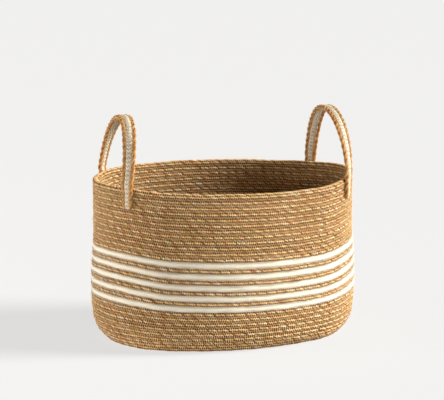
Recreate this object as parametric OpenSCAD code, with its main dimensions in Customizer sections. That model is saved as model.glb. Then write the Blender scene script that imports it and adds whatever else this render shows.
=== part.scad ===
// Oval storage basket of coiled seagrass rope with five white cord rows and two strap handles.
// Millimetres. X is the long axis, Y the short axis, Z up; the origin is on the floor at the centre.

/* [Basket body] */
// Length of the rim, outside to outside
body_length = 410; // [300:1:520]
// Width of the rim, outside to outside
body_width = 294; // [220:1:400]
// Height of the wall, floor to the top of the rim row
wall_height = 247.5; // [150:0.5:400]
// Radius of the two end curves of the oval rim
end_radius = 133; // [105:1:140]
// How far the wall bulges outward low down
belly = 4.5; // [0:0.5:12]
// Height of the widest part of the bulge
belly_height = 80; // [40:1:120]
// How far the wall turns in where it meets the floor
turn_in = 22; // [5:0.5:30]
// Height over which the wall turns in
turn_height = 46; // [20:1:80]

/* [Rope rows] */
// Diameter of the seagrass rope
rope_diameter = 9; // [6:0.1:12]
// Distance from one row to the next
row_pitch = 8.45; // [6:0.05:11]
// Rows from the floor to the rim
row_count = 30; // [20:1:40]
// Lowest white row, counted from the floor row as 0
first_white_row = 9; // [5:1:14]
// Number of white rows, with one seagrass row between each two
white_rows = 5; // [1:1:6]

/* [Handles] */
// Direction of each handle leg, seen from the centre of its end curve
leg_angle = 41.5; // [30:0.1:55]
// Rise of the arch above the height where it bends
arch_rise = 94; // [60:1:140]
// Roundness of the arch: higher makes a narrower top
arch_power = 1.31; // [1:0.01:2]
// How much the legs spread on the way up, as a share of their distance
arch_spread = 0.1; // [0:0.01:0.2]
// How far the top of the arch is pushed towards one leg
arch_skew = 12; // [0:1:20]
// Height above the rim where the strap bends
bend_height = 4.5; // [3:0.5:12]
// Thickness of the strap
strap_thickness = 6; // [4:0.1:8]
// Width of the flat white cord in the middle of the strap
strap_cord_width = 9.6; // [6:0.1:12]
// Width of each seagrass rope at the edges of the strap
strap_rope_width = 5.8; // [4:0.1:8]
// Length of strap that is sewn to the wall
sewn_length = 30; // [20:1:60]
// Inward lean of the left handle at rest
left_lean = 8.5; // [0:0.5:12]
// Largest fold of a handle either way
fold_angle = 60; // [30:5:75]

/* [Stitching] */
// Thickness of the sewing thread
thread = 1.2; // [0.6:0.1:2]
// Stitches across each face of a handle arch
arch_stitches = 15; // [5:2:31]
// Stitches across each sewn strap end
end_stitches = 5; // [3:1:8]

/* [Hidden] */
rope_r = rope_diameter / 2;
strap_half = strap_thickness / 2;
half_length = body_length / 2;
half_width = body_width / 2;
end_centre = half_length - end_radius;
flattening = half_width - end_radius;
side_centre = (end_centre * end_centre - flattening * flattening) / (2 * flattening);
side_radius = half_width + side_centre;
side_half_angle = atan2(end_centre, side_centre);
end_half_angle = 90 - side_half_angle;
last_row = row_count - 1;
last_white_row = first_white_row + 2 * (white_rows - 1);
turn_rows = 4;
groove = sqrt(rope_r * rope_r - row_pitch * row_pitch / 4);
base_rows = 11;
core_offset = row_offset(0) - (base_rows + 0.5) * row_pitch;
arc_steps = 16;
clearance = 0.3;
seam_gap = 0.25;
rope_gap = 0.06;
strap_pitch = (strap_cord_width + strap_rope_width) / 2 + rope_gap;
leg_radius = end_radius + strap_half + clearance;
leg_x = end_centre + leg_radius * cos(leg_angle);
leg_y = leg_radius * sin(leg_angle);
axis_z = wall_height + bend_height;
arch_rings = 28;
cap_rings = 3;
rope_sides = 12;
rope_facets = 12;
thread_facets = 6;
knuckle = norm([strap_cord_width / 2 * sin(leg_angle), strap_half * cos(leg_angle)]);
side_drop = strap_pitch * sin(leg_angle) * sin(fold_angle);
sewn_top = axis_z - knuckle - side_drop - clearance;
$fn = 48;

// Row positions: outside face of the wall against its rim outline, then each row's height and centre.
function face_shift(z) = belly * sin(min(180, 90 * z / belly_height))
    - turn_in * pow(max(0, 1 - z / turn_height), 3);
function row_below(z) = let (slope = (face_shift(z) - face_shift(z - row_pitch)) / row_pitch)
    z - row_pitch / sqrt(1 + slope * slope);
function row_z(k) = k >= last_row ? wall_height - rope_r : max(rope_r, row_below(row_z(k + 1)));
function row_offset(k) = face_shift(row_z(k)) - rope_r;
function seam_z(k) = (row_z(k) + row_z(k + 1)) / 2;
function seam_offset(k) = (row_offset(k) + row_offset(k + 1)) / 2;

// Handle arch: a point, a direction, the turn of the strap and the strap's width and face directions.
function arch_point(t, lean) = let (rise = arch_rise * pow(sin(180 * t), arch_power))
    [
        leg_x - rise * sin(lean),
        arch_skew * pow(sin(180 * t), 4) - leg_y * cos(180 * t) * (1 + arch_spread * pow(sin(180 * t), 2)),
        axis_z + rise * cos(lean)
    ];
function unit(v) = v / norm(v);
function arch_way(t, lean) = t < 0.001 || t > 0.999 ? [0, 0, t < 0.5 ? 1 : -1]
    : unit(arch_point(min(1, t + 0.002), lean) - arch_point(max(0, t - 0.002), lean));
function strap_turn(t) = (90 - leg_angle) * pow(cos(180 * t), 2);
function strap_normal(t, lean) = unit(cross(arch_way(t, lean), [1, 0, 0]));
function strap_side(t, lean) = let (way = arch_way(t, lean), out = strap_normal(t, lean))
    unit(cross(out, way)) * cos(strap_turn(t)) + out * sin(strap_turn(t));
function strap_face(t, lean) = cross(strap_side(t, lean), arch_way(t, lean));

// Oval section of one rope of the strap: place 0 is the wide white cord, -1 and 1 are the edge ropes.
function strap_width(place) = place == 0 ? strap_cord_width : strap_rope_width;
function section_x(place, a) = strap_width(place) / 2 * cos(a);
function section_y(a) = strap_half * sin(a);

// Sweeps a profile around the oval. Its x is measured outward from the rim outline, its y is height.
module oval_sweep() {
    for (half = [0, 180]) {
        rotate([0, 0, half]) {
            translate([end_centre, 0, 0])
                rotate([0, 0, -end_half_angle])
                    rotate_extrude(angle = 2 * end_half_angle)
                        translate([end_radius, 0])
                            children();
            translate([0, -side_centre, 0])
                rotate([0, 0, 90 - side_half_angle])
                    rotate_extrude(angle = 2 * side_half_angle)
                        translate([side_radius, 0])
                            children();
        }
    }
}

// The same sweep in straight steps, for sections given as a list of points.
function arc_spot(centre, radius, angle) = let (out = [cos(angle), sin(angle)]) [centre + radius * out, out];
function oval_spot(i) = let (arc = floor(i / arc_steps), part = (i % arc_steps) / arc_steps)
    arc == 0 ? arc_spot([end_centre, 0], end_radius, end_half_angle * (2 * part - 1))
    : arc == 1 ? arc_spot([0, -side_centre], side_radius, 90 + side_half_angle * (2 * part - 1))
    : arc == 2 ? arc_spot([-end_centre, 0], end_radius, 180 + end_half_angle * (2 * part - 1))
    : arc_spot([0, side_centre], side_radius, 270 + side_half_angle * (2 * part - 1));

module oval_loft(section) {
    n = len(section);
    rings = 4 * arc_steps;
    points = [
        for (i = [0 : rings - 1]) let (spot = oval_spot(i)) for (p = section)
            [spot[0][0] + spot[1][0] * p[0], spot[0][1] + spot[1][1] * p[0], p[1]]
    ];
    faces = [
        for (i = [0 : rings - 1]) for (j = [0 : n - 1])
            let (m = (j + 1) % n, here = i * n, next = ((i + 1) % rings) * n)
            [here + j, here + m, next + m, next + j]
    ];
    polyhedron(points = points, faces = faces);
}

// Rows first to last, pressed flat against the rows above and below them.
module wall_rows(first, last) {
    low = seam_z(first - 1);
    high = last < last_row ? seam_z(last) : wall_height + 1;
    oval_sweep()
        intersection() {
            union() {
                for (k = [first : last]) {
                    translate([row_offset(k), row_z(k)])
                        circle(rope_r, $fn = rope_facets);
                }
            }
            translate([-rope_diameter * 2, low])
                square([rope_diameter * 3, high - low]);
        }
}

// Rows that carry the coil from the floor up into the wall, as one scalloped section.
function row_centre(k) = [row_offset(k), row_z(k)];
function row_way(k) = unit(row_centre(k + 1) - (k > 0 ? row_centre(k - 1) : row_centre(0) - [row_pitch, 0]));
function row_point(k, turn) = let (way = row_way(k))
    row_centre(k) + rope_r * (cos(turn) * [way[1], -way[0]] + sin(turn) * way);
function valley(k, side) = let (way = unit(row_centre(k + 1) - row_centre(k)))
    (row_centre(k) + row_centre(k + 1)) / 2 + side * groove * [way[1], -way[0]];

module turn_up_rows() {
    top = turn_rows - 1;
    edge = row_offset(0) - row_pitch / 2;
    outside = [
        for (k = [0 : top]) each concat(
            [for (turn = k > 0 ? [-40, 0, 40] : [0, 40]) row_point(k, turn)],
            k < top ? [valley(k, 1)] : []
        )
    ];
    inside = [
        for (k = [top : -1 : 0]) each concat(
            k < top ? [valley(k, -1)] : [],
            [for (turn = [140, 180, 220]) row_point(k, turn)]
        )
    ];
    low = [[edge, rope_r + groove], [edge, 0], [row_offset(0) + 0.5, 0]];
    high = [
        [seam_offset(top) + groove, seam_z(top)],
        [seam_offset(top) - groove, seam_z(top)]
    ];
    color([0.72, 0.57, 0.38])
        oval_loft(concat(outside, high, inside, low));
}

// Flat coil of the bottom: ridged above where each row lies, flat below.
module base_coil() {
    edge = row_offset(0) - row_pitch / 2;
    ridges = [
        for (j = [1 : base_rows]) let (x = row_offset(0) - j * row_pitch) each [
            [x + row_pitch / 2, rope_r + groove],
            [x + row_pitch / 5, rope_diameter - 0.3],
            [x - row_pitch / 5, rope_diameter - 0.3]
        ]
    ];
    color([0.70, 0.55, 0.36])
        oval_loft(concat([[core_offset, 0], [edge, 0]], ridges, [[core_offset, rope_r + groove]]));
}

// Start of the coil: the first rows, folded back and forth along the middle of the bottom.
function core_arc(centre, radius, from, to) = [
    for (i = [0 : arc_steps - 1]) let (a = from + (to - from) * i / arc_steps)
        centre + radius * [cos(a), sin(a)]
];

module base_core() {
    end_r = end_radius + core_offset;
    side_r = side_radius + core_offset;
    color([0.68, 0.53, 0.35])
        linear_extrude(height = rope_diameter - 0.5)
            polygon(concat(
                core_arc([end_centre, 0], end_r, -end_half_angle, end_half_angle),
                core_arc([0, -side_centre], side_r, 90 - side_half_angle, 90 + side_half_angle),
                core_arc([-end_centre, 0], end_r, 180 - end_half_angle, 180 + end_half_angle),
                core_arc([0, side_centre], side_r, 270 - side_half_angle, 270 + side_half_angle)
            ));
}

module lower_wall_rows() {
    color([0.72, 0.57, 0.38])
        wall_rows(turn_rows, first_white_row - 1);
}

module white_row(n) {
    color([0.93, 0.90, 0.84])
        wall_rows(first_white_row + 2 * (n - 1), first_white_row + 2 * (n - 1));
}

module seagrass_row(n) {
    color([0.74, 0.58, 0.38])
        wall_rows(first_white_row + 2 * n - 1, first_white_row + 2 * n - 1);
}

module white_row_1() { white_row(1); }
module white_row_2() { white_row(2); }
module white_row_3() { white_row(3); }
module white_row_4() { white_row(4); }
module white_row_5() { white_row(5); }
module seagrass_row_1() { seagrass_row(1); }
module seagrass_row_2() { seagrass_row(2); }
module seagrass_row_3() { seagrass_row(3); }
module seagrass_row_4() { seagrass_row(4); }

module upper_wall_rows() {
    color([0.72, 0.57, 0.38])
        wall_rows(last_white_row + 1, last_row - 1);
}

module rim_row() {
    color([0.76, 0.61, 0.41])
        wall_rows(last_row, last_row);
}

// Thread lying in the outside grooves at the edges of the white rows.
module band_stitching() {
    reach = sqrt(pow(rope_r + thread / 2 + seam_gap, 2) - pow(row_pitch / 2, 2));
    color([0.85, 0.78, 0.66])
        oval_sweep()
            for (k = [first_white_row - 1 : last_white_row]) {
                translate([seam_offset(k) + reach, seam_z(k)])
                    circle(thread / 2, $fn = thread_facets);
            }
}

// One rope of an arch: sections along the strap, closed by a rounded knuckle at each end.
function arch_section(t, lean, place, size, drop) = [
    for (s = [0 : rope_sides - 1]) let (a = 360 * s / rope_sides)
        arch_point(t, lean) - arch_way(t, lean) * drop
            + strap_side(t, lean) * (place * strap_pitch + size * section_x(place, a))
            + strap_face(t, lean) * size * section_y(a)
];

module arch_rope(place, lean) {
    caps = [for (c = [0 : cap_rings - 1]) 90 * (cap_rings - c) / (cap_rings + 0.4)];
    back = [for (i = [cap_rings - 1 : -1 : 0]) caps[i]];
    rings = concat(
        [for (c = caps) arch_section(0, lean, place, cos(c), strap_half * sin(c))],
        [for (i = [0 : arch_rings]) arch_section(i / arch_rings, lean, place, 1, 0)],
        [for (c = back) arch_section(1, lean, place, cos(c), -strap_half * sin(c))]
    );
    count = len(rings);
    points = [for (ring = rings) for (p = ring) p];
    walls = [
        for (r = [0 : count - 2]) for (s = [0 : rope_sides - 1])
            let (n = (s + 1) % rope_sides, low = r * rope_sides, high = low + rope_sides)
            [[low + s, low + n, high + n], [low + s, high + n, high + s]]
    ];
    start = [for (s = [rope_sides - 1 : -1 : 0]) s];
    finish = [for (s = [0 : rope_sides - 1]) (count - 1) * rope_sides + s];
    polyhedron(points = points, faces = concat([start], [for (pair = walls) for (f = pair) f], [finish]));
}

// Thread across both faces of an arch.
module arch_stitching(lean) {
    length = 2 * strap_pitch;
    for (i = [1 : arch_stitches], face = [-1, 1]) {
        t = i / (arch_stitches + 1);
        side = strap_side(t, lean);
        out = strap_face(t, lean) * face;
        along = cross(side, out);
        centre = arch_point(t, lean) + out * (strap_half + seam_gap);
        multmatrix([
            [side[0], along[0], -out[0], centre[0]],
            [side[1], along[1], -out[1], centre[1]],
            [side[2], along[2], -out[2], centre[2]],
            [0, 0, 0, 1]
        ])
            translate([-length / 2, -thread / 2, -thread * 0.7])
                cube([length, thread, thread * 0.7]);
    }
}

// Places children at a sewn strap end: x along the strap's width, y away from the wall.
module at_leg(side) {
    translate([end_centre, 0, 0])
        rotate([0, 0, side * leg_angle - 90])
            translate([0, end_radius + strap_half + 0.02, wall_height - sewn_length])
                children();
}

module sewn_rope(place) {
    linear_extrude(height = sewn_top - wall_height + sewn_length)
        translate([place * strap_pitch, 0])
            polygon([
                for (s = [0 : rope_sides - 1]) let (a = 360 * s / rope_sides)
                    [section_x(place, a), section_y(a)]
            ]);
}

module sewn_seagrass(side) {
    color([0.70, 0.54, 0.34])
        at_leg(side)
            for (place = [-1, 1]) {
                sewn_rope(place);
            }
}

module sewn_white(side) {
    color([0.93, 0.90, 0.84])
        at_leg(side)
            sewn_rope(0);
}

module sewn_stitching() {
    step = (sewn_top - wall_height + sewn_length - 8) / (end_stitches - 1);
    color([0.85, 0.78, 0.66])
        for (half = [0, 180], side = [-1, 1], i = [0 : end_stitches - 1]) {
            rotate([0, 0, half])
                at_leg(side)
                    translate([-strap_pitch, strap_half + seam_gap, 3 + i * step])
                        cube([2 * strap_pitch, thread * 0.7, thread]);
        }
}

module right_arch_outer_rope() {
    color([0.72, 0.55, 0.35])
        arch_rope(1, 0);
}

module right_arch_white_rope() {
    color([0.93, 0.90, 0.84])
        arch_rope(0, 0);
}

module right_arch_inner_rope() {
    color([0.72, 0.55, 0.35])
        arch_rope(-1, 0);
}

module right_arch_stitching() {
    color([0.85, 0.78, 0.66])
        arch_stitching(0);
}

module left_arch_outer_rope() {
    color([0.72, 0.55, 0.35])
        rotate([0, 0, 180])
            arch_rope(1, left_lean);
}

module left_arch_white_rope() {
    color([0.93, 0.90, 0.84])
        rotate([0, 0, 180])
            arch_rope(0, left_lean);
}

module left_arch_inner_rope() {
    color([0.72, 0.55, 0.35])
        rotate([0, 0, 180])
            arch_rope(-1, left_lean);
}

module left_arch_stitching() {
    color([0.85, 0.78, 0.66])
        rotate([0, 0, 180])
            arch_stitching(left_lean);
}

module right_front_end_ropes() { sewn_seagrass(-1); }
module right_front_end_white() { sewn_white(-1); }
module right_rear_end_ropes() { sewn_seagrass(1); }
module right_rear_end_white() { sewn_white(1); }
module left_front_end_ropes() { rotate([0, 0, 180]) sewn_seagrass(1); }
module left_front_end_white() { rotate([0, 0, 180]) sewn_white(1); }
module left_rear_end_ropes() { rotate([0, 0, 180]) sewn_seagrass(-1); }
module left_rear_end_white() { rotate([0, 0, 180]) sewn_white(-1); }

base_core();
base_coil();
turn_up_rows();
lower_wall_rows();
white_row_1();
seagrass_row_1();
white_row_2();
seagrass_row_2();
white_row_3();
seagrass_row_3();
white_row_4();
seagrass_row_4();
white_row_5();
upper_wall_rows();
rim_row();
band_stitching();
right_front_end_ropes();
right_front_end_white();
right_rear_end_ropes();
right_rear_end_white();
left_front_end_ropes();
left_front_end_white();
left_rear_end_ropes();
left_rear_end_white();
sewn_stitching();
right_arch_outer_rope();
right_arch_white_rope();
right_arch_inner_rope();
right_arch_stitching();
left_arch_outer_rope();
left_arch_white_rope();
left_arch_inner_rope();
left_arch_stitching();
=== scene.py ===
"""Looks of the oval seagrass basket: twisted rope rows, white cord rows, zigzag sewing and strap handles."""

import math

import bpy
import numpy as np
from mathutils import Matrix, Vector


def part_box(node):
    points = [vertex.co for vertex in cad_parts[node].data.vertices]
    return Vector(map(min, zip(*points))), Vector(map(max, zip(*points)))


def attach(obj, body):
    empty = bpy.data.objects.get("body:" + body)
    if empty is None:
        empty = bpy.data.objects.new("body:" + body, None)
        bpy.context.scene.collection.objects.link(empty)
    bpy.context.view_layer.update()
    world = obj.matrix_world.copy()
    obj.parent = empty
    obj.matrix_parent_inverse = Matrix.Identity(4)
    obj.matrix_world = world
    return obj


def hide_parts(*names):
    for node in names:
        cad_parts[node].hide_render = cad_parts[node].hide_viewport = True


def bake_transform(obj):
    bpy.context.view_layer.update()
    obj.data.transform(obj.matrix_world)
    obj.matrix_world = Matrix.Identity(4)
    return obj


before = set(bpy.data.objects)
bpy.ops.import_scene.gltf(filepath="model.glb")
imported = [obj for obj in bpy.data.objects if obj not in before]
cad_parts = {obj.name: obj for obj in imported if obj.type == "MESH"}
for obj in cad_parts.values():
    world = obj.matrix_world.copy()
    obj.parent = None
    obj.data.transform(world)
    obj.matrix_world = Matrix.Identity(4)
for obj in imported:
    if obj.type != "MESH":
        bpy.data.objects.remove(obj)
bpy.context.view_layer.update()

# ---------------------------------------------------------------- sizes, in metres

MM = 0.001
_, rim_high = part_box("rim_row")
HALF_LENGTH = rim_high.x
HALF_WIDTH = rim_high.y
WALL_HEIGHT = rim_high.z
END_RADIUS = 133 * MM
ROPE_R = 4.55 * MM
ROW_PITCH = 8.45 * MM
ROW_COUNT = 30
FIRST_WHITE = 9
LAST_WHITE = 17
BELLY = 4.5 * MM
BELLY_HEIGHT = 80 * MM
TURN_IN = 22 * MM
TURN_HEIGHT = 46 * MM
BAND_HEIGHT = 110 * MM
ROPE_LAY = 31 * MM
WALL_ROPE_R = ROPE_R * 1.04
PLY_SPREAD = 0.42
WALL_ROPE_STEP = 1.9 * MM
BASE_ROPE_STEP = 2.4 * MM
BASE_ROPE_Z = ROPE_R + 0.15 * MM
WHITE_HALF_DEPTH = 4.15 * MM
WHITE_HALF_HEIGHT = 4.5 * MM
WHITE_ROUNDNESS = 0.55
STITCHES_ROUND = 336
STITCH_REACH = 2.3 * MM
THREAD_R = 0.25 * MM
THREAD_SWING = np.array([0.0, 1.0, 0.0, -1.0])

# Handles
LEG_ANGLE = math.radians(41.5)
STRAP_HALF = 3.0 * MM
CORD_HALF = 4.8 * MM
EDGE_ROPE_R = 2.9 * MM
STRAP_PITCH = CORD_HALF + EDGE_ROPE_R
BEND_HEIGHT = 4.5 * MM
ARCH_RISE = 94 * MM
ARCH_POWER = 1.31
ARCH_SPREAD = 0.1
ARCH_SKEW = 12 * MM
SEWN_LENGTH = 30 * MM
SEWN_INSET = 0.9 * MM
SEWN_NARROWING = 0.16
LEFT_LEAN = math.radians(8.5)
STRAP_ROPE_LAY = 22 * MM
STRAP_ROPE_SIDES = 14
BRAID_PITCH = 5.2 * MM
STRAP_HOLE_PITCH = 6.5 * MM
STRAP_STITCH = 4.6 * MM
STRAP_STITCH_REACH = 1.9 * MM
LOOSE_FIBRES = 420

# Four-centre oval of the rim outline
END_CENTRE = HALF_LENGTH - END_RADIUS
FLATTENING = HALF_WIDTH - END_RADIUS

random = np.random.default_rng(41)


# ---------------------------------------------------------------- curves

def oval(offset, count, flattening=FLATTENING):
    """Evenly spaced points and outward normals of the rim outline moved outward by offset."""
    end_r = END_RADIUS + offset
    side_centre = (END_CENTRE**2 - flattening**2) / (2 * flattening)
    side_r = end_r + math.hypot(END_CENTRE, side_centre)
    side_half = math.atan2(END_CENTRE, side_centre)
    end_half = math.pi / 2 - side_half
    arcs = [
        (side_half, side_r, 0, -side_centre, math.pi / 2),
        (end_half, end_r, -END_CENTRE, 0, math.pi),
        (side_half, side_r, 0, side_centre, 1.5 * math.pi),
        (end_half, end_r, END_CENTRE, 0, 2 * math.pi),
    ]
    lengths = np.array([2 * half * r for half, r, _, _, _ in arcs])
    ends = np.cumsum(lengths)
    total = ends[-1]
    s = np.arange(count) * total / count
    which = np.minimum(np.searchsorted(ends, s, side="right"), 3)
    half, radius, cx, cy, middle = (np.array([a[i] for a in arcs])[which] for i in range(5))
    along = s - (ends - lengths)[which]
    angle = middle - half + along / radius
    normal = np.stack([np.cos(angle), np.sin(angle)], 1)
    return np.stack([cx, cy], 1) + normal * radius[:, None], normal, total


def face_shift(z):
    """How far the wall's outside face stands out from the rim outline at height z."""
    bulge = BELLY * math.sin(min(math.pi, math.pi / 2 * z / BELLY_HEIGHT))
    return bulge - TURN_IN * max(0.0, 1 - z / TURN_HEIGHT) ** 3


def row_heights():
    """Heights of the row centres from the floor row to the rim."""
    z = WALL_HEIGHT - ROPE_R
    heights = [z]
    for _ in range(ROW_COUNT - 1):
        slope = (face_shift(z) - face_shift(z - ROW_PITCH)) / ROW_PITCH
        z = max(ROPE_R + 0.1 * MM, z - ROW_PITCH / math.hypot(1, slope))
        heights.append(z)
    return heights[::-1]


def hand_wave(z, normal):
    """Unevenness of hand-laid rows: small rises and dips around the oval, none at the floor."""
    angle = np.arctan2(normal[:, 1], normal[:, 0])
    band = 1.8 * np.sin(angle) + 4.3 * np.cos(2 * angle) + 0.9 * np.sin(2 * angle) - 2.6 * np.sin(3 * angle)
    band += 1.7 * np.cos(3 * angle)
    rim = 1.2 * np.cos(angle) + 2.6 * np.sin(angle) + 2.4 * np.cos(2 * angle) - 1.5 * np.sin(3 * angle)
    rim += 1.7 * np.cos(3 * angle)
    low = min(1.0, z / BAND_HEIGHT)
    high = min(1.0, max(0.0, (z - BAND_HEIGHT) / (WALL_HEIGHT - BAND_HEIGHT)))
    return MM * low * (band * (1 - high) + rim * high)


def wobble(count, amount, waves, turns=40):
    """A smooth closed random wave of about the given amount."""
    t = np.arange(count) / count * 2 * math.pi
    out = np.zeros(count)
    for _ in range(waves):
        out += np.cos(t * random.integers(3, turns) + random.uniform(0, 6.3))
    return out * amount / math.sqrt(waves)


# ---------------------------------------------------------------- meshes

def make_mesh(name, points, faces, material, body, maps=None, values=None):
    """A smooth mesh of quads with its named maps and named point values."""
    mesh = bpy.data.meshes.new(name)
    mesh.vertices.add(len(points))
    mesh.vertices.foreach_set("co", np.asarray(points, np.float32).ravel())
    mesh.loops.add(faces.size)
    mesh.loops.foreach_set("vertex_index", faces.astype(np.int32).ravel())
    mesh.polygons.add(len(faces))
    mesh.polygons.foreach_set("loop_start", np.arange(0, faces.size, faces.shape[1], dtype=np.int32))
    mesh.polygons.foreach_set("use_smooth", np.ones(len(faces), bool))
    for key, uv in (maps or {}).items():
        layer = mesh.uv_layers.new(name=key)
        layer.data.foreach_set("uv", np.asarray(uv, np.float32).ravel())
    for key, value in (values or {}).items():
        attribute = mesh.attributes.new(key, "FLOAT", "POINT")
        attribute.data.foreach_set("value", np.asarray(value, np.float32).ravel())
    mesh.update(calc_edges=True)
    mesh.validate()
    mesh.materials.append(material)
    piece = bpy.data.objects.new(name, mesh)
    bpy.context.scene.collection.objects.link(piece)
    if body:
        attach(piece, body)
    return piece


def tube_faces(rings, sides, closed, first=0):
    """Quads of a tube whose points are stored ring by ring."""
    last = rings if closed else rings - 1
    i = np.arange(last)[:, None]
    j = np.arange(sides)[None, :]
    here = i * sides
    there = ((i + 1) % rings) * sides
    following = (j + 1) % sides
    quads = np.stack([here + j, here + following, there + following, there + j], -1)
    return quads.reshape(-1, 4) + first


def tube_map(rings, sides, closed, step, start):
    """Strand map of a tube: u is the length along it in metres, v goes once around it."""
    last = rings if closed else rings - 1
    i = np.arange(last)[:, None] + np.zeros((1, sides))
    j = np.arange(sides)[None, :] + np.zeros((last, 1))
    u = np.stack([i, i, i + 1, i + 1], -1) * step + start
    v = np.stack([j, j + 1, j + 1, j], -1) / sides
    return np.stack([u, v], -1).reshape(-1, 2)


class Rope:
    """Plies twisted around a path: points, quads, strand map, painted groove shade and place in the section.
    """

    def __init__(self, path, out, up, length, closed, radius, lay, sides, strands, seed, fullness=0.85,
                 squareness=0.0):
        rings = len(path)
        s = np.arange(rings) * length / rings
        turns = round(length / lay) if closed else length / lay
        spread = radius * PLY_SPREAD
        around = np.arange(sides) / sides * 2 * math.pi
        points, quads, maps, creases, heights = [], [], [], [], []
        twist = -2 * math.pi * turns * s / length + wobble(rings, 0.22, 6) + seed
        for ply in range(2):
            theta = (twist + math.pi * ply)[:, None]
            thick = (radius - spread) * (1 + wobble(rings, 0.05, 8, 90))[:, None]
            slide = (2 * math.pi * strands * s / lay)[:, None]
            lobes = np.cos(strands * around[None, :] + slide * 0.5 + wobble(rings, 0.5, 6, 30)[:, None])
            ragged = np.cos((strands + 2) * around[None, :] - slide * 0.23 + ply)
            ring = thick * (1 + 0.12 * lobes + 0.06 * ragged)
            turn = theta + math.pi + around[None, :]
            x = spread * np.cos(theta) + ring * np.cos(turn)
            y = spread * np.sin(theta) + ring * np.sin(turn)
            depth = np.hypot(x, y) / radius
            # fullness pushes the plies out towards the round rope, squareness widens its top and bottom
            fill = 1 + fullness * np.clip(0.97 / np.maximum(depth, 0.05) - 1, -0.2, 1.6)
            x, y = x * fill, y * fill
            x = x * (1 + squareness * np.clip(np.abs(y) / radius, 0, 1) ** 4)
            body = path[:, None, :] + x[..., None] * out[:, None, :] + y[..., None] * up[:, None, :]
            quads.append(tube_faces(rings, sides, closed, rings * sides * ply))
            points.append(body.reshape(-1, 3))
            maps.append(tube_map(rings, sides, closed, length / rings, seed * 3.1 + ply * 1.7))
            # Painted shade: the colour darkens deeper in the grooves between the plies and between the strand
            # lobes.
            hollow = np.clip(depth * 1.9 - 0.58, 0, 1)
            creases.append((hollow * (0.72 + 0.28 * lobes)).reshape(-1))
            heights.append((y / radius).reshape(-1))
        self.points = np.concatenate(points)
        self.quads = np.concatenate(quads)
        self.strands = np.concatenate(maps)
        self.crease = np.concatenate(creases)
        self.height = np.concatenate(heights)
        self.rings = rings
        self.sides = sides


def stitch_map(quads, rings, sides, height, above, below):
    """Map of the sewing holes on a closed row: u counts stitches along it, v is the height in the section."""
    ring = (quads // sides) % rings
    ring = np.where((ring == 0) & (ring.max(1, keepdims=True) == rings - 1), rings, ring)
    v = height[quads]
    u = ring / rings * STITCHES_ROUND + np.where(v > 0, above, below)
    return np.stack([u, v], -1).reshape(-1, 2)


# ---------------------------------------------------------------- materials

class Nodes:
    """Short helpers that add nodes to one material."""

    def __init__(self, name):
        self.material = bpy.data.materials.new(name)
        self.material.use_nodes = True
        self.tree = self.material.node_tree
        self.surface = self.tree.nodes["Principled BSDF"]

    def add(self, kind, **settings):
        node = self.tree.nodes.new(kind)
        for key, value in settings.items():
            setattr(node, key, value)
        return node

    def link(self, source, target):
        self.tree.links.new(source, target)

    def strand_map(self):
        node = self.add("ShaderNodeUVMap", uv_map="strand_map")
        return node.outputs["UV"]

    def scaled(self, vector, scale):
        node = self.add("ShaderNodeVectorMath", operation="MULTIPLY")
        self.link(vector, node.inputs[0])
        node.inputs[1].default_value = scale
        return node.outputs["Vector"]

    def noise(self, vector, scale=1.0, detail=2.0, roughness=0.5):
        node = self.add("ShaderNodeTexNoise")
        self.link(vector, node.inputs["Vector"])
        node.inputs["Scale"].default_value = scale
        node.inputs["Detail"].default_value = detail
        node.inputs["Roughness"].default_value = roughness
        return node.outputs["Fac"]

    def math(self, operation, a, b, clamp=False):
        node = self.add("ShaderNodeMath", operation=operation, use_clamp=clamp)
        for socket, value in zip(node.inputs, (a, b)):
            if isinstance(value, (int, float)):
                socket.default_value = value
            else:
                self.link(value, socket)
        return node.outputs["Value"]

    def ramp(self, factor, stops):
        node = self.add("ShaderNodeValToRGB")
        ramp = node.color_ramp
        while len(ramp.elements) < len(stops):
            ramp.elements.new(0.5)
        for element, (place, colour) in zip(ramp.elements, stops):
            element.position = place
            element.color = (*colour, 1)
        self.link(factor, node.inputs["Fac"])
        return node.outputs["Color"]

    def mix(self, blend, factor, a, b):
        node = self.add("ShaderNodeMix", data_type="RGBA", blend_type=blend)
        for socket, value in ((node.inputs[0], factor), (node.inputs[6], a), (node.inputs[7], b)):
            if isinstance(value, (int, float)):
                socket.default_value = value
            elif isinstance(value, tuple):
                socket.default_value = (*value, 1)
            else:
                self.link(value, socket)
        return node.outputs[2]

    def value(self, name):
        node = self.add("ShaderNodeAttribute", attribute_name=name)
        return node.outputs["Fac"]

    def position(self):
        return self.add("ShaderNodeTexCoord").outputs["Object"]

    def bump(self, height, distance, strength=1.0):
        node = self.add("ShaderNodeBump")
        node.inputs["Distance"].default_value = distance
        node.inputs["Strength"].default_value = strength
        self.link(height, node.inputs["Height"])
        self.link(node.outputs["Normal"], self.surface.inputs["Normal"])


def needle_holes(n, reach, half_length, half_height):
    """Mask of the sewing holes, for their painted shade and their dent: 1 at a hole, falling to 0 around it.

    reach is the height of the two lines of holes in the rope's section, half_length is in stitches.
    """
    split = n.add("ShaderNodeSeparateXYZ")
    n.link(n.add("ShaderNodeUVMap", uv_map="stitch_map").outputs["UV"], split.inputs[0])
    along = n.math("ABSOLUTE", n.math("SUBTRACT", n.math("FRACT", split.outputs["X"], 0), 0.5), 0)
    across = n.math("ABSOLUTE", n.math("SUBTRACT", n.math("ABSOLUTE", split.outputs["Y"], 0), reach), 0)
    away_along = n.math("MULTIPLY", along, 1 / half_length)
    away_across = n.math("MULTIPLY", across, 1 / half_height)
    away = n.math("ADD", away_along, away_across)
    return n.math("MULTIPLY", n.math("SUBTRACT", 1.0, away, True), 1.9, True)


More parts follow.
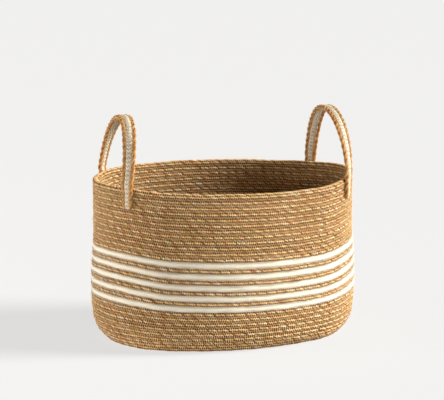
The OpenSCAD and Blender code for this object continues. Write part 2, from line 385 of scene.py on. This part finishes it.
def seagrass_material(name, sewn):
    """Dry twisted grass: long pale and dark strands, painted brown shade in the grooves between plies and in
    the needle holes, a satin surface.
    """
    n = Nodes(name)
    strands = n.strand_map()
    broad = n.noise(n.scaled(strands, (42, 6, 0)), 1.0, 2.0, 0.6)
    fine = n.noise(n.scaled(strands, (120, 20, 0)), 1.0, 3.0, 0.65)
    tone = n.math("ADD", n.math("MULTIPLY", broad, 0.72), n.math("MULTIPLY", fine, 0.36))
    straw = n.ramp(tone, [
        (0.38, (0.220, 0.085, 0.022)),
        (0.46, (0.580, 0.295, 0.098)),
        (0.53, (0.820, 0.485, 0.200)),
        (0.60, (0.910, 0.650, 0.330)),
        (0.67, (0.960, 0.860, 0.630)),
    ])
    patches = n.noise(n.scaled(strands, (9, 2, 0)), 1.0, 1.0)
    green_patches = n.ramp(patches, [(0.55, (0, 0, 0)), (0.68, (1, 1, 1))])
    green = n.mix("MULTIPLY", green_patches, straw, (0.90, 0.95, 0.72))
    rosy_patches = n.ramp(patches, [(0.30, (1, 1, 1)), (0.44, (0, 0, 0))])
    rosy = n.mix("MULTIPLY", rosy_patches, green, (1.0, 0.82, 0.70))
    half_lit, fully_lit = (0.20, 0.42) if sewn else (0.45, 0.90)
    # Painted shade in the ply grooves: dark brown at the bottom of a groove, full colour on the crown of a
    # ply. On the unsewn strap rope the shade reaches further up the ply and even the crown is darkened.
    crease = n.ramp(n.value("crease"), [
        (0.0, (0.12, 0.05, 0.018)),
        (half_lit, (0.58, 0.41, 0.25)),
        (fully_lit, (1, 1, 1) if sewn else (0.66, 0.60, 0.52)),
    ])
    colour = n.mix("MULTIPLY", 1.0, rosy, crease)
    height = fine
    if sewn:
        raggedness = n.math("ADD", n.math("MULTIPLY", fine, 1.2), 0.95)
        # Painted shade in the needle holes: near-black dots, also dented by the bump.
        holes = n.math("MULTIPLY", needle_holes(n, 0.46, 0.50, 0.55), raggedness, True)
        colour = n.mix("MULTIPLY", holes, colour, (0.045, 0.018, 0.006))
        height = n.math("SUBTRACT", fine, n.math("MULTIPLY", holes, 1.1))
    n.link(colour, n.surface.inputs["Base Color"])
    n.link(n.math("ADD", n.math("MULTIPLY", fine, 0.3), 0.42), n.surface.inputs["Roughness"])
    n.surface.inputs["Specular IOR Level"].default_value = 0.18
    n.surface.inputs["Sheen Weight"].default_value = 0.05
    n.surface.inputs["Sheen Tint"].default_value = (1.0, 0.82, 0.56, 1)
    n.bump(height, 0.0009, 0.8)
    return n.material


def cord_material(name, sewn):
    """Off-white cotton cord: fine spun yarn, painted grey shade in the needle holes and, on the strap, in the
    grooves of its braid.
    """
    n = Nodes(name)
    strands = n.strand_map()
    yarn = n.noise(n.scaled(strands, (520, 22, 0)), 1.0, 3.0, 0.6)
    slub = n.noise(n.scaled(strands, (60, 6, 0)), 1.0, 2.0)
    shade = n.math("ADD", n.math("MULTIPLY", yarn, 0.5), n.math("MULTIPLY", slub, 0.5))
    cotton = n.ramp(shade, [
        (0.30, (0.58, 0.51, 0.39)),
        (0.45, (0.75, 0.68, 0.55)),
        (0.62, (0.82, 0.765, 0.65)),
    ])
    # Painted shade from the mesh's shade value: none on the wall cord; on the strap cord it darkens the
    # middle of the braid, the valleys between its ribs and its needle holes.
    unshaded = (1, 1, 1) if sewn else (0.97, 0.95, 0.91)
    painted_shade_tint = n.ramp(n.value("crease"), [(0.0, (0.16, 0.12, 0.08)), (0.6, unshaded)])
    colour = n.mix("MULTIPLY", 1.0, cotton, painted_shade_tint)
    height = yarn
    if sewn:
        # Painted shade in the needle holes: small grey dots, also dented by the bump.
        holes = n.math("MULTIPLY", needle_holes(n, 0.50, 0.27, 0.20), slub, True)
        colour = n.mix("MULTIPLY", holes, colour, (0.40, 0.36, 0.30))
        height = n.math("SUBTRACT", yarn, holes)
    n.link(colour, n.surface.inputs["Base Color"])
    n.surface.inputs["Roughness"].default_value = 0.85
    n.surface.inputs["Sheen Weight"].default_value = 0.1
    n.bump(height, 0.0005, 0.6)
    return n.material


def thread_material(name, colour):
    """Plain sewing thread with a little dirt along it."""
    n = Nodes(name)
    dirt = n.noise(n.position(), 260.0, 2.0)
    shade = n.ramp(dirt, [(0.35, tuple(c * 0.62 for c in colour)), (0.6, colour)])
    n.link(shade, n.surface.inputs["Base Color"])
    n.surface.inputs["Roughness"].default_value = 0.7
    return n.material


SEAGRASS = seagrass_material("seagrass_rope", True)
LOOSE_SEAGRASS = seagrass_material("seagrass_strap_rope", False)
CORD = cord_material("white_cotton_cord", True)
STRAP_CORD = cord_material("white_strap_cord", False)
THREAD = thread_material("sewing_thread", (0.84, 0.54, 0.25))
PALE_THREAD = thread_material("pale_sewing_thread", (0.80, 0.74, 0.61))
LOOSE_THREAD = thread_material("loose_grass", (0.76, 0.58, 0.33))


# ---------------------------------------------------------------- wall rows

HEIGHTS = row_heights()
SEAM_PHASES = random.uniform(0, 1, ROW_COUNT + 1)


def row_path(height, offset, step, flattening=FLATTENING):
    """Closed path of one row with its outward and upward directions."""
    _, _, total = oval(offset, 8, flattening)
    count = int(total / step)
    xy, normal, total = oval(offset, count, flattening)
    z = height + hand_wave(height, normal) + wobble(count, 0.28 * MM, 7, 30)
    xy = xy + normal * wobble(count, 0.30 * MM, 7, 30)[:, None]
    path = np.column_stack([xy, z])
    out = np.column_stack([normal, np.zeros(count)])
    up = np.tile([0.0, 0.0, 1.0], (count, 1))
    return path, out, up, total


def is_white(row):
    return FIRST_WHITE <= row <= LAST_WHITE and (row - FIRST_WHITE) % 2 == 0


def rope_row(name, row, height, offset, step=WALL_ROPE_STEP, sides=16, flattening=FLATTENING, squareness=1.0):
    """One closed row of two-ply rope, pressed flat where it would pass through the floor.

    A square section fills the grooves to the rows above and below.
    """
    path, out, up, total = row_path(height, offset, step, flattening)
    rope = Rope(path, out, up, total, True, WALL_ROPE_R, ROPE_LAY, sides, 4, random.uniform(0, 6.3),
                squareness=squareness)
    rope.points[:, 2] = np.maximum(rope.points[:, 2], 0.0)
    above, below = SEAM_PHASES[row], SEAM_PHASES[row - 1] + 0.5
    holes = stitch_map(rope.quads, rope.rings, sides, rope.height, above, below)
    return make_mesh(name, rope.points, rope.quads, SEAGRASS, "basket",
                     {"strand_map": rope.strands, "stitch_map": holes}, {"crease": rope.crease})


def seagrass_row(row):
    height = HEIGHTS[row]
    return rope_row(f"seagrass_rope_{row:02d}", row, height, face_shift(height) - ROPE_R)


def white_row(row):
    """A flat-faced cord that fills its whole row, ribbed by its yarns."""
    height = HEIGHTS[row]
    path, out, up, total = row_path(height, face_shift(height) - ROPE_R, 1.5 * MM)
    rings, sides = len(path), 20
    around = np.arange(sides) / sides * 2 * math.pi
    x = WHITE_HALF_DEPTH * np.sign(np.cos(around)) * np.abs(np.cos(around)) ** WHITE_ROUNDNESS
    y = WHITE_HALF_HEIGHT * np.sign(np.sin(around)) * np.abs(np.sin(around)) ** WHITE_ROUNDNESS
    rib = np.arange(rings)[:, None] / rings * STITCHES_ROUND * 2 * math.pi
    grow = 1 + 0.028 * np.cos(rib * 0.5 + 3 * around[None, :]) + wobble(rings, 0.02, 8, 90)[:, None]
    body = path[:, None, :] + (x[None, :] * grow)[..., None] * out[:, None, :]
    body = body + (y[None, :] * (1 + 0.6 * (grow - 1)))[..., None] * up[:, None, :]
    quads = tube_faces(rings, sides, True)
    height_in = np.broadcast_to(y / WHITE_HALF_HEIGHT, (rings, sides)).reshape(-1)
    above, below = SEAM_PHASES[row], SEAM_PHASES[row - 1] + 0.5
    maps = {
        "strand_map": tube_map(rings, sides, True, total / rings, row * 2.3),
        "stitch_map": stitch_map(quads, rings, sides, height_in, above, below),
    }
    return make_mesh(f"white_cord_{row:02d}", body.reshape(-1, 3), quads, CORD, "basket", maps,
                     {"crease": np.ones(rings * sides)})


def thread_tube(centre, out, closed, radius):
    """Thin four-sided tube along a list of points."""
    if closed:
        ahead = np.roll(centre, -1, 0) - np.roll(centre, 1, 0)
    else:
        ahead = np.gradient(centre, axis=0)
    ahead /= np.linalg.norm(ahead, axis=1)[:, None]
    cross = np.cross(ahead, out)
    cross /= np.linalg.norm(cross, axis=1)[:, None]
    lift = np.cross(cross, ahead)
    around = np.arange(4) / 4 * 2 * math.pi
    ring = lift[:, None, :] * np.cos(around)[None, :, None]
    ring = ring + cross[:, None, :] * np.sin(around)[None, :, None]
    return (centre[:, None, :] + ring * radius).reshape(-1, 3), tube_faces(len(centre), 4, closed)


def zigzag(row, side):
    """Machine sewing over the groove above a row, on the outside (side 1) or the inside (side -1)."""
    height = (HEIGHTS[row] + HEIGHTS[row + 1]) / 2
    shift = (face_shift(HEIGHTS[row]) + face_shift(HEIGHTS[row + 1])) / 2
    count = 4 * STITCHES_ROUND
    xy, normal, _ = oval(shift - ROPE_R, count)
    beat = np.arange(count) % 4
    reach = THREAD_SWING[beat] * STITCH_REACH * (1 + wobble(count, 0.12, 6, 200))
    depth = np.array([0.15, -0.45, 0.15, -0.45])[beat] * MM
    rise = HEIGHTS[row + 1] - HEIGHTS[row]
    lean = (face_shift(HEIGHTS[row + 1]) - face_shift(HEIGHTS[row])) * reach / rise
    surface = side * (ROPE_R - 0.25 * MM + depth) + lean
    centre = np.column_stack([xy + normal * surface[:, None], height + hand_wave(height, normal) + reach])
    centre = np.roll(centre, -int(SEAM_PHASES[row] * 4), 0)
    points, quads = thread_tube(centre, np.column_stack([normal, np.zeros(count)]), True, THREAD_R)
    material = PALE_THREAD if FIRST_WHITE - 1 <= row <= LAST_WHITE else THREAD
    place = "outside" if side > 0 else "inside"
    return make_mesh(f"sewing_{place}_{row:02d}", points, quads, material, "basket")


# ---------------------------------------------------------------- base

def base_rows():
    """Coil of the bottom, row by row towards the folded core."""
    outer = face_shift(HEIGHTS[0]) - ROPE_R
    offset = outer - ROW_PITCH
    pieces = []
    while END_RADIUS + offset > ROPE_R * 0.9:
        flat = max(0.3 * MM, FLATTENING * (END_RADIUS + offset) / (END_RADIUS + outer))
        name = f"base_rope_{len(pieces) + 1:02d}"
        pieces.append(rope_row(name, 0, BASE_ROPE_Z, offset, BASE_ROPE_STEP, 12, flat, 0.0))
        offset -= ROW_PITCH
    return pieces


def core_rope():
    """The straight start of the coil along the middle of the bottom."""
    half = END_CENTRE
    count = int(2 * half / BASE_ROPE_STEP)
    x = np.linspace(-half, half, count)
    path = np.column_stack([x, np.zeros(count), np.full(count, BASE_ROPE_Z)])
    out = np.tile([0.0, 1.0, 0.0], (count, 1))
    up = np.tile([0.0, 0.0, 1.0], (count, 1))
    rope = Rope(path, out, up, 2 * half, False, ROPE_R, ROPE_LAY, 12, 5, 0.4)
    rope.points[:, 2] = np.maximum(rope.points[:, 2], 0.0)
    return make_mesh("base_core_rope", rope.points, rope.quads, LOOSE_SEAGRASS, "basket",
                     {"strand_map": rope.strands}, {"crease": rope.crease})


# ---------------------------------------------------------------- handles

LEG_RADIUS = END_RADIUS + STRAP_HALF + 0.3 * MM
LEG_X = END_CENTRE + LEG_RADIUS * math.cos(LEG_ANGLE)
LEG_Y = LEG_RADIUS * math.sin(LEG_ANGLE)
AXIS_Z = WALL_HEIGHT + BEND_HEIGHT


class StrapPath:
    """Centre line of a strap from its front sewn end, over the arch, to its rear sewn end."""

    def __init__(self, lean, step=1.3 * MM):
        t = np.linspace(0, 1, 400)
        sine = np.sin(math.pi * t)
        rise = ARCH_RISE * sine**ARCH_POWER
        swing = ARCH_SKEW * sine**4 - LEG_Y * np.cos(math.pi * t) * (1 + ARCH_SPREAD * sine**2)
        arch = np.column_stack([LEG_X - rise * math.sin(lean), swing, AXIS_Z + rise * math.cos(lean)])
        foot = np.linspace(WALL_HEIGHT - SEWN_LENGTH, AXIS_Z, 60)[:-1]
        inward = SEWN_INSET * np.clip((AXIS_Z - foot) / BEND_HEIGHT, 0, 1)
        front_x = LEG_X - inward * math.cos(LEG_ANGLE)
        front_y = -LEG_Y + inward * math.sin(LEG_ANGLE)
        front = np.column_stack([front_x, front_y, foot])
        rear = front[::-1] * [1, -1, 1]
        line = np.concatenate([front, arch, rear])
        share = np.concatenate([np.zeros(len(front)), t, np.ones(len(rear))])
        along = np.concatenate([[0], np.cumsum(np.linalg.norm(np.diff(line, axis=0), axis=1))])
        self.length = along[-1]
        self.count = int(self.length / step)
        s = np.linspace(0, self.length, self.count)
        self.centre = np.column_stack([np.interp(s, along, line[:, i]) for i in range(3)])
        turn = (math.pi / 2 - LEG_ANGLE) * np.cos(math.pi * np.interp(s, along, share)) ** 2
        ahead = np.gradient(self.centre, axis=0)
        ahead /= np.linalg.norm(ahead, axis=1)[:, None]
        across = np.cross(ahead, [1.0, 0.0, 0.0])
        across /= np.linalg.norm(across, axis=1)[:, None]
        flat = np.cross(across, ahead)
        self.side = flat * np.cos(turn)[:, None] + across * np.sin(turn)[:, None]
        self.face = np.cross(self.side, ahead)
        below = np.clip((AXIS_Z + 4 * MM - self.centre[:, 2]) / (12 * MM), 0, 1)
        self.narrow = 1 - SEWN_NARROWING * below
        ends = np.minimum(np.arange(self.count), np.arange(self.count)[::-1])
        self.taper = np.clip(ends / 3, 0.3, 1)


def place_strap_piece(piece):
    """Bakes a strap piece's placement into its points."""
    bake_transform(piece)
    return piece


def strap_rope(path, place, label, flip):
    """A two-ply seagrass rope along one edge of the strap."""
    line = path.centre + path.side * (place * STRAP_PITCH * path.narrow)[:, None]
    rope = Rope(line, path.side, path.face, path.length, False, EDGE_ROPE_R * 1.06, STRAP_ROPE_LAY,
                STRAP_ROPE_SIDES, 5, random.uniform(0, 6.3), 0.25)
    rings = rope.points.reshape(2, path.count, STRAP_ROPE_SIDES, 3)
    middle = line[None, :, None, :]
    rings = middle + (rings - middle) * path.taper[None, :, None, None]
    where = "outer" if place > 0 else "inner"
    return make_mesh(f"{label}_strap_{where}_rope", rings.reshape(-1, 3) * flip, rope.quads, LOOSE_SEAGRASS,
                     None, {"strand_map": rope.strands}, {"crease": rope.crease})


def strap_cord(path, label, flip):
    """The wide flat braided cord in the middle of the strap: a chevron of yarns, with painted shade along its
    middle, between its ribs and at two lines of needle holes.
    """
    sides = 24
    around = np.arange(sides) / sides * 2 * math.pi
    across = np.sign(np.cos(around)) * np.abs(np.cos(around)) ** 0.8
    s = np.linspace(0, path.length, path.count)[:, None]
    ribs = np.cos(2 * math.pi * (s / BRAID_PITCH + 1.1 * np.abs(across)[None, :]))
    x = across[None, :] * CORD_HALF * path.narrow[:, None] * 1.03
    y = np.sin(around)[None, :] * (STRAP_HALF * 0.95 + 0.26 * MM * ribs)
    x, y = x * path.taper[:, None] ** 0.5, y * path.taper[:, None]
    body = path.centre[:, None, :] + x[..., None] * path.side[:, None, :]
    body = body + y[..., None] * path.face[:, None, :]
    # Painted shade: darker along the middle of each face, in the valleys between the ribs and at two lines of
    # needle holes.
    middle_shade = 1 - 0.5 * np.exp(-((across / 0.12) ** 2))[None, :]
    beat = np.cos(2 * math.pi * s / STRAP_HOLE_PITCH) > 0.5
    needle = np.exp(-(((np.abs(across) - 0.42) / 0.17) ** 2))[None, :] * beat
    crease = np.clip((0.62 + 0.45 * ribs) * middle_shade * (1 - 0.95 * needle), 0, 1)
    quads = tube_faces(path.count, sides, False)
    maps = {"strand_map": tube_map(path.count, sides, False, path.length / path.count, 4.0)}
    return make_mesh(f"{label}_strap_white_cord", body.reshape(-1, 3) * flip, quads, STRAP_CORD, None,
                     maps, {"crease": crease.reshape(-1)})


def strap_sewing(path, seam, out, label, flip):
    """Zigzag thread over one groove of a strap, on its outer (out 1) or inner (out -1) face."""
    count = 4 * int(path.length / STRAP_STITCH)
    at = np.linspace(0.01, 0.99, count) * (path.count - 1)
    index = np.arange(path.count)
    centre, side, face = (
        np.column_stack([np.interp(at, index, part[:, i]) for i in range(3)])
        for part in (path.centre, path.side, path.face)
    )
    narrow = np.interp(at, index, path.narrow)
    beat = np.arange(count) % 4
    reach = seam * (CORD_HALF + 0.2 * MM) * narrow + THREAD_SWING[beat] * STRAP_STITCH_REACH
    depth = out * (STRAP_HALF - 0.15 * MM + np.array([0.25, -0.35, 0.25, -0.35])[beat] * MM)
    line = centre + side * reach[:, None] + face * depth[:, None]
    points, quads = thread_tube(line, face * out, False, THREAD_R)
    where = f"{'inner' if seam < 0 else 'outer'}_{'under' if out < 0 else 'over'}"
    return make_mesh(f"{label}_strap_sewing_{where}", points * flip, quads, THREAD, None)


def strap(label, lean, mirrored):
    """The white cord, the two edge ropes and the four lines of sewing of one handle."""
    path = StrapPath(lean)
    flip = np.array([-1, -1, 1]) if mirrored else np.array([1, 1, 1])
    pieces = [strap_rope(path, place, label, flip) for place in (-1, 1)]
    pieces.append(strap_cord(path, label, flip))
    pieces += [strap_sewing(path, seam, out, label, flip) for seam in (-1, 1) for out in (1, -1)]
    return [place_strap_piece(piece) for piece in pieces]


# ---------------------------------------------------------------- loose fibres

def loose_fibres():
    """Short ends of grass that lift a little from the outside of the wall, the rim and the inside."""
    points, quads = [], []
    places = 720
    index = np.arange(places)
    for _ in range(LOOSE_FIBRES):
        row = int(random.integers(1, ROW_COUNT))
        if is_white(row):
            continue
        height = HEIGHTS[row]
        xy, normal, _ = oval(face_shift(height) - ROPE_R, places)
        start, steps = int(random.integers(0, places)), 7
        along = (start + np.linspace(0, random.uniform(3, 11), steps)) % places
        centre, out = (
            np.column_stack([np.interp(along, index, part[:, i]) for i in range(2)])
            for part in (xy, normal)
        )
        side = 1 if random.random() < 0.8 else -1
        lift = ROPE_R * 0.98 + np.linspace(0, 1, steps) ** 2 * random.uniform(0.3, 1.6) * MM
        rise = np.linspace(-1, 1, steps) * random.uniform(-3.5, 1.0) * MM
        z = height + hand_wave(height, out) + rise
        line = np.column_stack([centre + out * (side * lift)[:, None], z])
        crosses_start = np.diff(along).min() < 0
        if crosses_start:
            continue
        thickness = random.uniform(0.25, 0.5) * MM
        tube, faces = thread_tube(line, np.column_stack([out, np.zeros(steps)]), False, thickness)
        quads.append(faces + sum(len(p) for p in points))
        points.append(tube)
    return make_mesh("loose_grass_ends", np.concatenate(points), np.concatenate(quads), LOOSE_THREAD,
                     "basket")


# ---------------------------------------------------------------- build the basket

# One row of each group of rows that the frame holds as a single node
ROW_GROUPS = {1: "turn_up_rows", 6: "lower_wall_rows", 22: "upper_wall_rows", ROW_COUNT - 1: "rim_row"}


def build_basket():
    rows = {k: white_row(k) if is_white(k) else seagrass_row(k) for k in range(ROW_COUNT)}
    base = base_rows()
    core = core_rope()
    sewing = {k: zigzag(k, 1) for k in range(ROW_COUNT - 1)}
    for k in range(ROW_COUNT - 1):
        zigzag(k, -1)
    loose_fibres()
    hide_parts("base_coil")
    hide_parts("base_core")
    for row, node in ROW_GROUPS.items():
        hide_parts(node)
    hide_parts("band_stitching")
    for n in range(5):
        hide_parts(f"white_row_{n + 1}")
    for n in range(4):
        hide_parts(f"seagrass_row_{n + 1}")
    for label, lean, mirrored in (("right", 0.0, False), ("left", LEFT_LEAN, True)):
        inner, outer, white, seam, *_ = strap(label, lean, mirrored)
        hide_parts(f"{label}_arch_inner_rope", f"{label}_front_end_ropes")
        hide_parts(f"{label}_arch_outer_rope", f"{label}_rear_end_ropes")
        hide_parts(f"{label}_arch_white_rope", f"{label}_front_end_white", f"{label}_rear_end_white")
        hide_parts(f"{label}_arch_stitching")
        if not mirrored:
            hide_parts("sewn_stitching")


# ---------------------------------------------------------------- floor, light and camera

VIEW_TURN = math.radians(16.04)
VIEW_RISE = math.radians(12.2)
VIEW_DISTANCE = 2.5154
VIEW_TILT = 0.032
VIEW_PAN = -0.001
LENS = 1600 / 444 * 36
FLOOR_HALF = 60.0
FLOOR_GREY = 0.185
FLOOR_GLOW = 0.66
ROOM_LIGHT = 0.17
KEY_STRENGTH = 6.8
KEY_SOFTNESS = math.radians(20)
LEFT_FILL_POWER = 62
FRONT_FILL_POWER = 20


def around_view(side, ahead, up):
    """A point given to the right of, towards and above the object as the camera sees it."""
    c, s = math.cos(VIEW_TURN), math.sin(VIEW_TURN)
    return (side * c + ahead * s, -side * s + ahead * c, up)


def studio_floor():
    """A wide pale floor that glows evenly, so that it stays light out to the horizon."""
    n = Nodes("studio_paper")
    n.surface.inputs["Base Color"].default_value = (FLOOR_GREY, FLOOR_GREY, FLOOR_GREY, 1)
    n.surface.inputs["Roughness"].default_value = 0.9
    n.surface.inputs["Specular IOR Level"].default_value = 0.0
    n.surface.inputs["Emission Color"].default_value = (1.0, 1.0, 1.0, 1)
    n.surface.inputs["Emission Strength"].default_value = FLOOR_GLOW
    corners = [(x * FLOOR_HALF, y * FLOOR_HALF, 0) for x, y in ((-1, -1), (1, -1), (1, 1), (-1, 1))]
    mesh = bpy.data.meshes.new("studio_floor")
    mesh.from_pydata(corners, [], [(0, 1, 2, 3)])
    mesh.materials.append(n.material)
    floor = bpy.data.objects.new("studio_floor", mesh)
    floor.location.z = -0.2 * MM
    bpy.context.scene.collection.objects.link(floor)


def sun_light(name, towards, strength, softness, colour):
    """Very large distant lamp, so that the floor stays evenly lit."""
    data = bpy.data.lights.new(name, "SUN")
    data.energy = strength
    data.angle = softness
    data.color = colour
    lamp = bpy.data.objects.new(name, data)
    lamp.rotation_euler = Vector(towards).to_track_quat("Z", "Y").to_euler()
    bpy.context.scene.collection.objects.link(lamp)


def area_light(name, place, aim, size, power, colour):
    data = bpy.data.lights.new(name, "AREA")
    data.shape = "DISK"
    data.size = size
    data.energy = power
    data.color = colour
    lamp = bpy.data.objects.new(name, data)
    lamp.location = place
    lamp.visible_camera = False
    lamp.rotation_euler = (Vector(aim) - Vector(place)).to_track_quat("-Z", "Y").to_euler()
    bpy.context.scene.collection.objects.link(lamp)


def add_camera():
    """Camera to the left of square-on and a little above, aimed slightly over the middle of the wall."""
    back = Vector(around_view(0, -math.cos(VIEW_RISE), math.sin(VIEW_RISE)))
    right = Vector(around_view(1, 0, 0))
    up = right.cross(-back)
    ahead = right * math.sin(VIEW_PAN) - back * math.cos(VIEW_PAN)
    right = right * math.cos(VIEW_PAN) + back * math.sin(VIEW_PAN)
    ahead = ahead * math.cos(VIEW_TILT) + up * math.sin(VIEW_TILT)
    up = right.cross(ahead)
    data = bpy.data.cameras.new("camera")
    data.lens = LENS
    data.sensor_width = 36
    data.clip_end = 200
    camera = bpy.data.objects.new("camera", data)
    camera.matrix_world = Matrix.Translation(Vector((0, 0, 0.125)) + back * VIEW_DISTANCE) @ Matrix(
        (right, up, -ahead)).transposed().to_4x4()
    bpy.context.scene.collection.objects.link(camera)
    bpy.context.scene.camera = camera


def light_scene():
    studio_floor()
    middle = (0, 0, 0.15)
    sun_light("key", around_view(1.0, 0.0, 0.52), KEY_STRENGTH, KEY_SOFTNESS, (1.0, 0.985, 0.94))
    area_light("left_fill", around_view(-2.5, -0.4, 0.22), middle, 1.0, LEFT_FILL_POWER, (1.0, 0.94, 0.86))
    area_light("front_fill", around_view(0.5, -2.6, 0.22), middle, 1.2, FRONT_FILL_POWER, (1.0, 0.93, 0.84))
    world = bpy.data.worlds.new("soft_room")
    world.use_nodes = True
    world.node_tree.nodes["Background"].inputs["Color"].default_value = (1.0, 0.93, 0.83, 1)
    world.node_tree.nodes["Background"].inputs["Strength"].default_value = ROOM_LIGHT
    bpy.context.scene.world = world
    bpy.context.scene.view_settings.view_transform = "Standard"
    bpy.context.scene.view_settings.look = "None"


build_basket()
add_camera()
light_scene()
